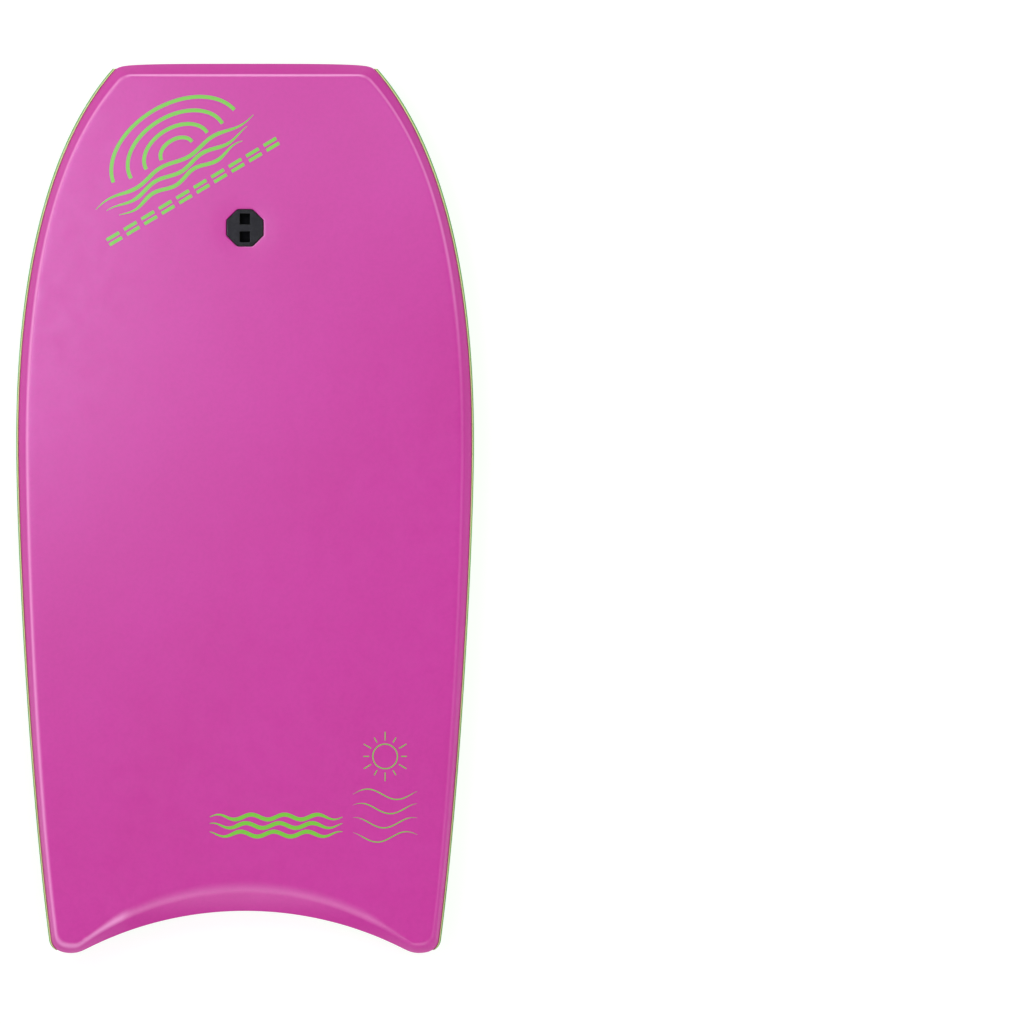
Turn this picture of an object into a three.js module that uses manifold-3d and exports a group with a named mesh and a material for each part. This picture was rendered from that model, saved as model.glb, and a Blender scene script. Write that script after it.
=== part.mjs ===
import * as THREE from 'three';
import { mergeVertices } from 'three/addons/utils/BufferGeometryUtils.js';
import Module from 'manifold-3d';

// A bodyboard, in millimetres. It lies on its slick with the deck up and the nose towards +Y, and the origin
// is on the ground under its middle. A foam core is wrapped by a formed foam deck skin. A hard plastic slick
// covers the underside, and a foam strip covers each lower rail. A two-part leash plug goes right through.

const wasm = await Module();
wasm.setup();
const { smoothstep } = THREE.MathUtils;

// Layers
const SKIN_T = 4; // formed deck foam
const SLICK_T = 1.5;
const STRIP_T = 2.5; // foam strip on the lower rail
const GAP = 0.3; // glue line between pieces

// Plan
const NOSE_Y = 470;
const TAIL_Y = -470;
const WIDE = { x: 242.1, y: 71, before: 183, after: 102 }; // widest point and its tangents' lengths
const NOSE_CORNER = { x: 134.9, splay: 0.72, cut: 12, handle: 100 }; // where nose and rail would cross
const PEG = { x: 207.2, y: -456, splay: 0.129, handle: 166 }; // where the rail turns into the tail peg
const PEG_TURN = { x: 1.2, y: 9 }; // the tangent there, on the peg's side
const PEG_TIP = { x: 185, before: 13, after: 7 }; // the peg's rearmost point and its tangents' lengths
const BAY = { x: 166, y: -425.5, endY: -464.8, slope: 0.5, handle: 6 }; // the hollow, an arc between the pegs
const BAY_END_SHARE = 1.3; // how far the arc's ends move in for each millimetre that the peg's tip does

// Heights
const FLAT = { back: -153, front: 121 }; // deck and slick are level between these
const DECK_Z = 47.1;
const DECK_RISE = { nose: 3.5, tail: 1.7 };
const SLICK_RISE = { nose: 28, tail: 5.4 };
const CHINE_DROP = 14.5; // from the deck down to the widest line
const NOSE_DROP = 5; // how much lower the widest line runs along the nose
const NOSE_TURN_Y = 457; // where that line starts to drop

// How far each line stands inside the board's outline, round the board
const OUTLINE = { nose: 0, front: 0, wide: 0, peg: 0, tip: 0, bay: 0 };
const SEAM = { nose: 0, front: 2.5, wide: 2.5, peg: 2.5, tip: 0, bay: 0 }; // the deck skin's widest line
const DECK_EDGE = { nose: 13.3, front: 13.5, wide: 11.6, peg: 6.5, tip: 7, bay: 23.7 };
const SLICK_EDGE = { nose: 2, front: 6, wide: 15, peg: 13, tip: 1.5, bay: 1.5 };
// How far the same lines move in for each millimetre of thickness taken off
const DECK_EDGE_SHARE = 0.55;
const SEAM_SHARE = 1.15;
const SLICK_EDGE_SHARE = 1.1;

// Segments along each stretch of half the outline, from the middle of the nose to the middle of the tail
const STEPS = { nose: 6, corner: 4, front: 9, rear: 8, peg: 4, tip: 2, bay: 6 };
const COLS = 2 * (STEPS.nose + STEPS.corner / 2);
const ROWS = STEPS.corner / 2 + STEPS.front + STEPS.rear + STEPS.peg;

// Dents
const SCREW_DENT = { r: 37.5, depth: 5.8 }; // in the slick, round the screw half of the plug
const DECK_DENT = { r: 34, depth: 0.8 }; // where the plug pulls the deck in
const CHANNEL = { x: 110, apexY: -238, endY: -450, r: 34.5, depth: 6 }; // one on each side, open to the tail
const DENT_RINGS = 4;
const DENT_OVERRUN = 1.4; // how far a dent's cut runs on past the dent's edge, as a share of its angle

const STRIP_REACH = { inner: 100, front: 464.5, back: -466.5 };
const BELOW = -20; // under everything
const ABOVE = 2 * DECK_Z; // over everything
const OVERCUT = 5; // how far a cut runs past the faces that it must clear

// Leash plug
const PLUG_Y = 296;
const FLANGE = { across: 39, thick: 2, sunk: 1.2 };
const CUP_R = 17.6;
const CUP_DEPTH = 13.5;
const CUP_ROUND = 6;
const STEM_R = 10.5;
const STEM_END_Z = 12.5;
const THREAD_BORE_R = 8.3;
const THREAD_BORE_TOP_Z = 31;
const WELL = { width: 10.7, end: 15.1, depth: 11.5, round: 5 };
const BAR = { half: 3.75, thick: 5 };
const CAP = { r: 18.15, thick: 3, proud: 0.9, dish: 0.6, rim: 2.6, round: 1 };
const SHANK = { r: 7.8, topZ: 29.5, chamfer: 1 };
const COIN_SLOT = { radius: 20, width: 2.2, depth: 2.7, turn: THREE.MathUtils.degToRad(141) };
const SEAT_GAP = 0.5; // round the plug in its bores
const ROUND = 32; // segments round a turned piece
const CUP_STEPS = 4; // segments of the cup's rounded foot
const WELL_STEPS = 5; // segments of each rounded end of the tunnel

const noseShare = (y) => Math.max(0, (y - FLAT.front) / (NOSE_Y - FLAT.front));
const tailShare = (y) => Math.max(0, (FLAT.back - y) / (FLAT.back - TAIL_Y));
const deckZ = (y) => DECK_Z + DECK_RISE.nose * noseShare(y) ** 2 + DECK_RISE.tail * tailShare(y) ** 2;
const slickZ = (y) => SLICK_RISE.nose * noseShare(y) ** 4 + SLICK_RISE.tail * tailShare(y) ** 2;
const seamZ = (y) => deckZ(y) - CHINE_DROP - NOSE_DROP * smoothstep(y, NOSE_TURN_Y, NOSE_Y);
const flangeTopZ = deckZ(PLUG_Y) - FLANGE.sunk;
const flangeZ = flangeTopZ - FLANGE.thick;
const cupFloorZ = flangeTopZ - CUP_DEPTH;
const capZ = slickZ(PLUG_Y) + CAP.proud;
const point = (x, y) => new THREE.Vector2(x, y);
const moved = (setback, by) => Object.fromEntries(Object.entries(setback).map(([k, v]) => [k, v + by]));

// Half of a closed line round the board, set back from the outline by the given amounts.
function halfLine({ nose, front, wide, peg, tip, bay }) {
  const { splay, cut } = NOSE_CORNER;
  const noseY = NOSE_Y - nose;
  const cornerX = NOSE_CORNER.x + nose * Math.tan(splay) - front / Math.cos(splay);
  const alongRail = (d) => point(cornerX + d * Math.sin(splay), noseY - d * Math.cos(splay));
  const wideX = WIDE.x - wide;
  const widest = point(wideX, WIDE.y);
  const pegStart = point(PEG.x - peg, PEG.y + tip);
  const pegHandle = point(PEG.handle * Math.sin(PEG.splay), PEG.handle * Math.cos(PEG.splay)).add(pegStart);
  const pegTip = point(PEG_TIP.x - peg / 2, TAIL_Y + tip);
  const bayEnd = point(BAY.x, BAY.endY + BAY_END_SHARE * tip);
  const bayHeight = BAY.y + bay - bayEnd.y;
  const bayR = (bayEnd.x ** 2 + bayHeight ** 2) / (2 * bayHeight);
  const bayCentreY = BAY.y + bay - bayR;
  const bayAngle = Math.atan2(bayEnd.y - bayCentreY, bayEnd.x);
  const stretches = [
    [new THREE.LineCurve(point(0, noseY), point(cornerX - cut, noseY)), STEPS.nose],
    [new THREE.QuadraticBezierCurve(point(cornerX - cut, noseY), alongRail(0), alongRail(cut)), STEPS.corner],
    [new THREE.CubicBezierCurve(alongRail(cut), alongRail(cut + NOSE_CORNER.handle),
      point(wideX, WIDE.y + WIDE.before), widest), STEPS.front],
    [new THREE.CubicBezierCurve(widest, point(wideX, WIDE.y - WIDE.after), pegHandle, pegStart), STEPS.rear],
    [new THREE.CubicBezierCurve(pegStart, point(pegStart.x - PEG_TURN.x, pegStart.y - PEG_TURN.y),
      point(pegTip.x + PEG_TIP.before, pegTip.y), pegTip), STEPS.peg],
    [new THREE.CubicBezierCurve(pegTip, point(pegTip.x - PEG_TIP.after, pegTip.y),
      point(bayEnd.x + BAY.handle, bayEnd.y - BAY.handle * BAY.slope), bayEnd), STEPS.tip],
    [new THREE.EllipseCurve(0, bayCentreY, bayR, bayR, bayAngle, Math.PI / 2), STEPS.bay],
  ];
  return stretches.flatMap(([curve, steps]) => curve.getPoints(steps).slice(0, -1));
}

// The whole line, clockwise from the middle of the nose. Every line has the same number of points.
function closedLine(setback) {
  const right = halfLine(setback);
  const tail = point(0, BAY.y + setback.bay);
  const left = right.slice(1).reverse().map((p) => point(-p.x, p.y));
  return [...right, tail, ...left];
}

// A grid that fills a closed line (a Coons patch). It returns rows of points, and its edge points are the
// line's own.
function fill(line) {
  const count = line.length;
  const a = STEPS.nose + STEPS.corner / 2;
  const b = a + ROWS;
  const index = (row, col) => {
    if (row === 0) return (count - a + col) % count;
    if (row === ROWS) return count - b - col;
    if (col === 0) return count - a - row;
    return col === COLS ? a + row : -1;
  };
  const at = (row, col) => line[index(row, col)];
  const [frontY, backY] = [at(0, 0).y, at(ROWS, 0).y];
  const rows = [];
  for (let row = 0; row <= ROWS; row++) {
    const v = (frontY - at(row, 0).y) / (frontY - backY);
    rows.push([]);
    for (let col = 0; col <= COLS; col++) {
      const known = index(row, col);
      const u = col / COLS;
      const across = at(row, 0).clone().lerp(at(row, COLS), u);
      const along = at(0, col).clone().lerp(at(ROWS, col), v);
      const front = at(0, 0).clone().lerp(at(0, COLS), u);
      const back = at(ROWS, 0).clone().lerp(at(ROWS, COLS), u);
      const corners = front.lerp(back, v);
      rows[row].push({ known, p: known < 0 ? across.add(along).sub(corners) : line[known] });
    }
  }
  return rows;
}

// A closed body through a stack of levels, top first. A level is a line round the board and a height by y.
function stack(levels) {
  const positions = [];
  const index = [];
  const add = (p, z) => positions.push(p.x, p.y, z(p.y)) / 3 - 1;
  const rings = levels.map(({ line, z }) => line.map((p) => add(p, z)));
  for (let level = 0; level + 1 < rings.length; level++) {
    const [upper, lower] = [rings[level], rings[level + 1]];
    upper.forEach((u, k) => {
      const n = (k + 1) % upper.length;
      index.push(u, upper[n], lower[k], upper[n], lower[n], lower[k]);
    });
  }
  const close = ({ line, z }, ring, up) => {
    const grid = fill(line).map((row) => row.map(({ known, p }) => (known < 0 ? add(p, z) : ring[known])));
    for (let r = 0; r < ROWS; r++) {
      for (let c = 0; c < COLS; c++) {
        const [p, q, s, t] = [grid[r][c], grid[r + 1][c], grid[r][c + 1], grid[r + 1][c + 1]];
        index.push(...(up ? [p, q, s, s, q, t] : [p, s, q, s, t, q]));
      }
    }
  };
  close(levels[0], rings[0], true);
  close(levels.at(-1), rings.at(-1), false);
  const geometry = new THREE.BufferGeometry();
  geometry.setAttribute('position', new THREE.Float32BufferAttribute(positions, 3));
  geometry.setIndex(index);
  return solid(geometry);
}

// A closed geometry as a solid for joining and cutting, and back.
function solid(geometry) {
  const bare = geometry.clone();
  bare.deleteAttribute('normal');
  bare.deleteAttribute('uv');
  const merged = mergeVertices(bare);
  const corners = Array.from(merged.index.array);
  const triangles = [];
  for (let i = 0; i < corners.length; i += 3) {
    const [a, b, c] = corners.slice(i, i + 3);
    if (a !== b && b !== c && c !== a) triangles.push(a, b, c);
  }
  const vertProperties = new Float32Array(merged.attributes.position.array);
  const triVerts = new Uint32Array(triangles);
  return new wasm.Manifold(new wasm.Mesh({ numProp: 3, vertProperties, triVerts }));
}

function geometryOf(body) {
  const { vertProperties, triVerts } = body.getMesh();
  const geometry = new THREE.BufferGeometry();
  geometry.setAttribute('position', new THREE.BufferAttribute(vertProperties, 3));
  geometry.setIndex(new THREE.BufferAttribute(triVerts, 1));
  geometry.computeVertexNormals();
  return geometry;
}

// A turned piece on the plug's axis. Its profile of [radius, height] runs up, from the axis to the axis.
function turned(profile) {
  const lathe = new THREE.LatheGeometry(profile.map(([r, z]) => point(r, z)), ROUND);
  return solid(lathe.rotateX(Math.PI / 2).translate(0, PLUG_Y, 0));
}

// A dent's cut: a shallow cap of a ball that meets a level face at z = 0 in a circle. It can be offset.
function dent({ r, depth }, grow = 0) {
  const ballR = (r ** 2 + depth ** 2) / (2 * depth);
  const start = Math.PI / 2 - DENT_OVERRUN * Math.asin(r / ballR);
  const cap = new THREE.EllipseCurve(0, depth - ballR, ballR + grow, ballR + grow, start, Math.PI / 2);
  const arc = cap.getPoints(DENT_RINGS);
  const lathe = new THREE.LatheGeometry([point(0, BELOW), point(arc[0].x, BELOW), ...arc], ROUND);
  return lathe.rotateX(Math.PI / 2);
}

// The scoop that runs forward from the tail and fades out.
function channel(side, grow) {
  const { x, apexY, endY, r } = CHANNEL;
  const run = apexY - endY;
  const cut = dent(CHANNEL, grow).scale(1, run / r, 1);
  cut.rotateX(Math.atan2(slickZ(apexY) - slickZ(endY), run));
  return solid(cut.translate(side * x, endY, slickZ(endY)));
}

// Everything below a face that is parallel to the slick's underside and this much higher.
function underside(height) {
  const line = closedLine(moved(OUTLINE, BELOW));
  const slab = stack([{ line, z: (y) => slickZ(y) + height }, { line, z: () => BELOW }]);
  const screwDent = solid(dent(SCREW_DENT, height).translate(0, PLUG_Y, slickZ(PLUG_Y)));
  return slab.add(screwDent).add(channel(1, height)).add(channel(-1, height));
}

// The foam body inside the outer face, with this much taken off its deck and sides.
function foamBody(off) {
  return stack([
    { line: closedLine(moved(DECK_EDGE, DECK_EDGE_SHARE * off)), z: (y) => deckZ(y) - off },
    { line: closedLine(moved(SEAM, SEAM_SHARE * off)), z: seamZ },
    { line: closedLine(moved(SLICK_EDGE, SLICK_EDGE_SHARE * off)), z: slickZ },
  ]);
}

// The holes that the plug's cup and stem pass through, from above the deck to below the slick.
function plugBores() {
  const cup = CUP_R + SEAT_GAP;
  const stem = STEM_R + SEAT_GAP;
  const shelfZ = cupFloorZ - SEAT_GAP;
  return turned([[0, BELOW], [stem, BELOW], [stem, shelfZ], [cup, shelfZ], [cup, ABOVE], [0, ABOVE]]);
}

function octagon(across, lowZ, highZ) {
  const corner = across / 2 / Math.cos(Math.PI / 8);
  const prism = new THREE.CylinderGeometry(corner, corner, highZ - lowZ, 8);
  prism.rotateY(Math.PI / 8).rotateX(Math.PI / 2);
  return solid(prism.translate(0, PLUG_Y, (lowZ + highZ) / 2));
}

function foamCore() {
  return foamBody(SKIN_T + GAP).subtract(underside(SLICK_T + GAP)).subtract(plugBores());
}

function deckSkin() {
  const cap = foamBody(0).subtract(underside(SLICK_T + GAP)).subtract(foamBody(SKIN_T));
  const seat = octagon(FLANGE.across + 2 * SEAT_GAP, flangeZ - GAP, ABOVE);
  const pulledIn = solid(dent(DECK_DENT).rotateX(Math.PI).translate(0, PLUG_Y, deckZ(PLUG_Y)));
  return cap.subtract(seat).subtract(pulledIn).subtract(plugBores());
}

function slickSkin() {
  const line = closedLine(SLICK_EDGE);
  const column = stack([{ line, z: () => ABOVE }, { line, z: () => BELOW }]);
  const hole = turned([[0, BELOW], [SHANK.r + SEAT_GAP, BELOW], [SHANK.r + SEAT_GAP, ABOVE], [0, ABOVE]]);
  return column.intersect(underside(SLICK_T)).subtract(underside(0)).subtract(hole);
}

// The strip between the deck skin's lower side and the board's outline.
function railStrip(side) {
  const seam = closedLine(moved(SEAM, -GAP));
  const foot = closedLine(moved(SLICK_EDGE, -GAP));
  const inside = stack([
    { line: seam, z: (y) => seamZ(y) + OVERCUT },
    { line: seam, z: seamZ },
    { line: foot, z: slickZ },
    { line: foot, z: (y) => slickZ(y) - OVERCUT },
  ]);
  const outerFoot = { ...SLICK_EDGE };
  for (const place of ['front', 'wide', 'peg']) outerFoot[place] -= STRIP_T + GAP;
  const outline = closedLine(OUTLINE);
  const outside = stack([{ line: outline, z: seamZ }, { line: closedLine(outerFoot), z: slickZ }]);
  const { inner, front, back } = STRIP_REACH;
  const reach = new THREE.BoxGeometry(WIDE.x, front - back, 2 * ABOVE);
  reach.translate(side * (inner + WIDE.x / 2), (front + back) / 2, 0);
  return outside.subtract(inside).intersect(solid(reach));
}

// The wells and the tunnel that joins them under the bar.
function leashTunnel() {
  const { width, end, depth, round } = WELL;
  const shape = new THREE.Shape();
  shape.moveTo(-end, OVERCUT);
  shape.lineTo(-end, round - depth);
  shape.absarc(round - end, round - depth, round, Math.PI, 1.5 * Math.PI);
  shape.absarc(end - round, round - depth, round, 1.5 * Math.PI, 2 * Math.PI);
  shape.lineTo(end, OVERCUT);
  shape.lineTo(BAR.half, OVERCUT);
  shape.lineTo(BAR.half, -BAR.thick);
  shape.lineTo(-BAR.half, -BAR.thick);
  shape.lineTo(-BAR.half, OVERCUT);
  const options = { depth: width, bevelEnabled: false, curveSegments: WELL_STEPS };
  const tunnel = new THREE.ExtrudeGeometry(shape, options);
  tunnel.translate(0, 0, -width / 2).rotateX(Math.PI / 2).rotateZ(Math.PI / 2);
  return solid(tunnel.translate(0, PLUG_Y, flangeTopZ));
}

function plugDeckHalf() {
  const [x, z] = [CUP_R - CUP_ROUND, cupFloorZ + CUP_ROUND];
  const quarter = new THREE.EllipseCurve(x, z, CUP_ROUND, CUP_ROUND, -Math.PI / 2, 0);
  const foot = quarter.getPoints(CUP_STEPS).map((p) => [p.x, p.y]);
  const insideFlangeZ = flangeTopZ - FLANGE.thick / 2;
  const body = turned([
    [0, THREAD_BORE_TOP_Z], [THREAD_BORE_R, THREAD_BORE_TOP_Z], [THREAD_BORE_R, STEM_END_Z],
    [STEM_R, STEM_END_Z], [STEM_R, cupFloorZ], ...foot, [CUP_R, insideFlangeZ], [0, insideFlangeZ],
  ]);
  return body.add(octagon(FLANGE.across, flangeZ, flangeTopZ)).subtract(leashTunnel());
}

function plugScrew() {
  const { r, thick, dish, rim, round } = CAP;
  const body = turned([
    [0, capZ + dish], [r - 2 * rim, capZ + dish], [r - rim, capZ], [r - round, capZ], [r, capZ + round],
    [r, capZ + thick], [SHANK.r, capZ + thick], [SHANK.r, SHANK.topZ - SHANK.chamfer],
    [SHANK.r - SHANK.chamfer, SHANK.topZ], [0, SHANK.topZ],
  ]);
  const coin = new THREE.CylinderGeometry(COIN_SLOT.radius, COIN_SLOT.radius, COIN_SLOT.width, 2 * ROUND);
  coin.rotateZ(COIN_SLOT.turn);
  coin.translate(0, PLUG_Y, capZ + dish + COIN_SLOT.depth - COIN_SLOT.radius);
  return body.subtract(solid(coin));
}

const FOAM_PINK = { color: 0xd253ac, roughness: 0.6, metalness: 0 };
const FOAM_GREEN = { color: 0x6cd046, roughness: 0.6, metalness: 0 };
const SLICK_GREEN = { color: 0x58c22e, roughness: 0.35, metalness: 0 };
const PLUG_BLACK = { color: 0x232626, roughness: 0.5, metalness: 0 };
const BEAD_WHITE = { color: 0xeeeeea, roughness: 0.85, metalness: 0 };

const board = new THREE.Group();

function place(name, body, look) {
  const mesh = new THREE.Mesh(geometryOf(body), new THREE.MeshStandardMaterial(look));
  mesh.name = name;
  board.add(mesh);
}

place('foam_core', foamCore(), BEAD_WHITE);
place('deck_skin', deckSkin(), FOAM_PINK);
place('slick_skin', slickSkin(), SLICK_GREEN);
place('rail_strip_left', railStrip(-1), FOAM_GREEN);
place('rail_strip_right', railStrip(1), FOAM_GREEN);
place('leash_plug_deck_half', plugDeckHalf(), PLUG_BLACK);
place('leash_plug_screw', plugScrew(), PLUG_BLACK);

export default board;
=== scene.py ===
"""A bodyboard's looks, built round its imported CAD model. The geometry is worked out in millimetres."""

import math
import random

import bmesh
import bpy
import numpy as np
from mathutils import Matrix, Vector


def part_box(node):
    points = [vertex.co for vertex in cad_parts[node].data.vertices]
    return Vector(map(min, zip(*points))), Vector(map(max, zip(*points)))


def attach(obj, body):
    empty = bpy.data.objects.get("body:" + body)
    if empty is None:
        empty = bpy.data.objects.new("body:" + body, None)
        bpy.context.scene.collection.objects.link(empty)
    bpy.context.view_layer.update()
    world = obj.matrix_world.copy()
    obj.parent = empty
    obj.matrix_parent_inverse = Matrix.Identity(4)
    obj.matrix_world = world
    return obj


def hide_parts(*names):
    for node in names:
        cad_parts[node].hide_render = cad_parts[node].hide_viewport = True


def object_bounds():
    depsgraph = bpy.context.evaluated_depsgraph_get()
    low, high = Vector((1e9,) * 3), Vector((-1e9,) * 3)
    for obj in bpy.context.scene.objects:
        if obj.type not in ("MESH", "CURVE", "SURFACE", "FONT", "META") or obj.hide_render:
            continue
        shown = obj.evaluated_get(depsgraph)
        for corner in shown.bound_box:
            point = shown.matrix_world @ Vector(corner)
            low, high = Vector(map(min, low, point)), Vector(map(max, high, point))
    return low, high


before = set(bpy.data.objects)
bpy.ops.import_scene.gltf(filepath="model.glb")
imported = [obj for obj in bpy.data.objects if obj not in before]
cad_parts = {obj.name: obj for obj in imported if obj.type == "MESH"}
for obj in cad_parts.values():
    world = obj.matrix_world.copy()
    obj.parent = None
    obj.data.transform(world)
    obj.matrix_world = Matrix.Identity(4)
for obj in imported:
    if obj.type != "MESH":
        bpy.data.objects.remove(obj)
cad_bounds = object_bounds()
MM = 0.001
rng = random.Random(7)


def box_mm(node):
    low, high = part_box(node)
    return np.array(low) / MM, np.array(high) / MM


# ---------------------------------------------------------------- sizes, from the frame where it states them
SKIN = box_mm("deck_skin")
STRIP = box_mm("rail_strip_right")
PLUG = box_mm("leash_plug_deck_half")
SCREW = box_mm("leash_plug_screw")

# the outline's nose, its corner's angle in radians, and how far the corner is stepped back and cut off
NOSE_Y = SKIN[1][1]
NOSE_CORNER_X = 134.9
NOSE_SPLAY = 0.72
NOSE_BOW = 2.5
NOSE_SHARES = (0.5, 0.85)
CORNER_STEP = 4.7
CORNER_CUT = 4.0
CUT_PER_NOSE = 0.4

# its flanks, with the handles of their curves
WIDE_X = STRIP[1][0]
WIDE_Y = 71.0
FRONT_HANDLE = 100.0
WIDE_BEFORE = 183.0
WIDE_AFTER = 102.0

# its tail pegs, with the handles of theirs
TAIL_Y = SKIN[0][1]
PEG_X = 207.2
PEG_Y = -456.0
PEG_SPLAY = 0.129
PEG_HANDLE = 166.0
PEG_TURN = (1.2, 9.0)
PEG_TIP_X = 185.0
TIP_OUT = 13.0
TIP_IN = 7.0

# the crescent bay between the pegs
BAY_X = 166.0
BAY_Y = -425.5
BAY_END_Y = -464.8
BAY_END_PER_TIP = 1.3
BAY_HANDLE = 6.0
BAY_SLOPE = 0.5

# heights: the board is level between two places, and rises towards the nose and the tail
FLAT_BACK = -153.0
FLAT_FRONT = 121.0
DECK_Z = 47.1
DECK_NOSE_RISE = 3.5
DECK_TAIL_RISE = 1.7
SLICK_NOSE_RISE = 28.0
SLICK_TAIL_RISE = 5.4
CHINE_DROP = 14.5
NOSE_DROP = 5.0
NOSE_TURN_Y = 457.0
CHANNEL = dict(start_y=-226.0, length=214.0, middle_x=110.0, half=36.5, depth=6.0, shape=1.35)
DECK_DENT = dict(radius=40.0, depth=0.8, shape=2)
SLICK_DENT = dict(radius=39.5, depth=5.8, shape=1.2)

# thicknesses, and the gap between glued pieces
SKIN_T = 4.0
SLICK_T = 1.5
STRIP_T = 2.5
GAP = 0.3

# the leash plug: an octagonal half in the deck, and a round screw in the slick
PLUG_Y = (PLUG[0][1] + PLUG[1][1]) / 2
FLANGE_Z = PLUG[1][2]
FLANGE_ACROSS = PLUG[1][0] - PLUG[0][0]
FLANGE_T = 2.0
CAP_Z = SCREW[0][2]
CAP_R = (SCREW[1][0] - SCREW[0][0]) / 2
SHANK_R = 7.0

# how far lines round the board are set back from the outline, at each place on the way round
NONE = dict(nose=0, front=0, wide=0, peg=0, tip=0, bay=0)
SEAM = dict(nose=0, front=2.5, wide=2.5, peg=2.5, tip=0, bay=0)
DECK_EDGE = dict(nose=12.6, front=13.5, wide=11.6, peg=6.5, tip=7, bay=23.7)
SLICK_EDGE = dict(nose=2, front=6, wide=15, peg=13, tip=1.5, bay=1.5)

# the points of each stretch of half a line, and the grid that fills a whole one
STEPS = dict(nose=24, corner=10, front=42, rear=50, peg=12, tip=8, bay=21)
COLS = 2 * (STEPS["nose"] + STEPS["corner"] // 2)
ROWS = STEPS["corner"] // 2 + STEPS["front"] + STEPS["rear"] + STEPS["peg"]
COUNT = 2 * sum(STEPS.values())


def smooth(x, a, b):
    t = np.clip((np.asarray(x, float) - a) / (b - a), 0, 1)
    return t * t * (3 - 2 * t)


def nose_share(y):
    return np.maximum(0, (y - FLAT_FRONT) / (NOSE_Y - FLAT_FRONT))


def tail_share(y):
    return np.maximum(0, (FLAT_BACK - y) / (FLAT_BACK - TAIL_Y))


def dent(x, y, radius, depth, shape):
    """How deep the foam is drawn in round the plug."""
    return depth * np.clip(1 - (x**2 + (y - PLUG_Y) ** 2) / radius**2, 0, 1) ** shape


def deck_level(y):
    return DECK_Z + DECK_NOSE_RISE * nose_share(y) ** 2 + DECK_TAIL_RISE * tail_share(y) ** 2


def deck_z(x, y):
    """The deck's height, with its shallow dent round the plug."""
    return deck_level(y) - dent(x, y, **DECK_DENT)


def seam_z(x, y):
    """The height of the seam between the upper chine and the rail strip."""
    return deck_level(y) - CHINE_DROP - NOSE_DROP * smooth(y, NOSE_TURN_Y, NOSE_Y)


def slick_z(x, y):
    """The slick's underside, with its two tail channels and its dent round the screw."""
    z = SLICK_NOSE_RISE * nose_share(y) ** 4 + SLICK_TAIL_RISE * tail_share(y) ** 2
    along = np.clip((CHANNEL["start_y"] - y) / CHANNEL["length"], 0, 1)
    fullness = 1 - (1 - along) ** 2
    half = CHANNEL["half"] * np.sqrt(fullness) + 1e-6
    across = np.clip(1 - ((np.abs(x) - CHANNEL["middle_x"]) / half) ** 2, 0, 1)
    return z + CHANNEL["depth"] * fullness * across ** CHANNEL["shape"] + dent(x, y, **SLICK_DENT)


# ---------------------------------------------------------------- lines round the board
def bezier(points, steps):
    t = np.arange(steps)[:, None] / steps
    p = [np.array(q, float) for q in points]
    while len(p) > 1:
        p = [a * (1 - t) + b * t for a, b in zip(p, p[1:])]
    return p[0]


def half_line(nose, front, wide, peg, tip, bay):
    """The right half of a line round the board, set back from the outline, from the nose to the tail."""
    nose_y = NOSE_Y - nose
    s, c = math.sin(NOSE_SPLAY), math.cos(NOSE_SPLAY)
    corner_x = NOSE_CORNER_X + nose * math.tan(NOSE_SPLAY) - front / c

    def rail(d):
        return corner_x + d * s, nose_y - d * c

    sharp = max(0, 1 - nose / DECK_EDGE["nose"])
    cut_by = CORNER_CUT + CUT_PER_NOSE * nose
    apex = CORNER_STEP * sharp
    nose_end = (corner_x - cut_by, nose_y - NOSE_BOW * sharp)
    rail_start = rail(apex + cut_by)
    rail_handle = rail(apex + cut_by + FRONT_HANDLE)
    wide_x = WIDE_X - wide
    peg_x, peg_y = PEG_X - peg, PEG_Y + tip
    peg_handle = (peg_x + PEG_HANDLE * math.sin(PEG_SPLAY), peg_y + PEG_HANDLE * math.cos(PEG_SPLAY))
    peg_turn = (peg_x - PEG_TURN[0], peg_y - PEG_TURN[1])
    tip_x, tip_y = PEG_TIP_X - peg / 2, TAIL_Y + tip
    end_x, end_y = BAY_X, BAY_END_Y + BAY_END_PER_TIP * tip
    end_handle = (end_x + BAY_HANDLE, end_y - BAY_HANDLE * BAY_SLOPE)
    height = BAY_Y + bay - end_y
    radius = (end_x**2 + height**2) / (2 * height)
    middle_y = BAY_Y + bay - radius
    start = math.atan2(end_y - middle_y, end_x)
    turn = start + (math.pi / 2 - start) * np.arange(STEPS["bay"]) / STEPS["bay"]
    stretches = {
        "nose": [(0, nose_y), *[(share * corner_x, nose_y) for share in NOSE_SHARES], nose_end],
        "corner": [nose_end, rail(apex), rail_start],
        "front": [rail_start, rail_handle, (wide_x, WIDE_Y + WIDE_BEFORE), (wide_x, WIDE_Y)],
        "rear": [(wide_x, WIDE_Y), (wide_x, WIDE_Y - WIDE_AFTER), peg_handle, (peg_x, peg_y)],
        "peg": [(peg_x, peg_y), peg_turn, (tip_x + TIP_OUT, tip_y), (tip_x, tip_y)],
        "tip": [(tip_x, tip_y), (tip_x - TIP_IN, tip_y), end_handle, (end_x, end_y)],
    }
    curves = [bezier(points, STEPS[name]) for name, points in stretches.items()]
    return np.vstack(curves + [np.stack([radius * np.cos(turn), middle_y + radius * np.sin(turn)], 1)])


def closed_line(setback, by=0.0):
    at = {k: v + by for k, v in setback.items()}
    right = half_line(**at)
    left = right[:0:-1] * [-1, 1]
    return np.vstack([right, [(0, BAY_Y + at["bay"])], left])


def ring(setback, z, by=0.0, lift=0.0):
    """A line round the board as 3D points, lying on the surface z(x, y)."""
    line = closed_line(setback, by)
    return np.column_stack([line, z(line[:, 0], line[:, 1]) + lift])


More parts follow.
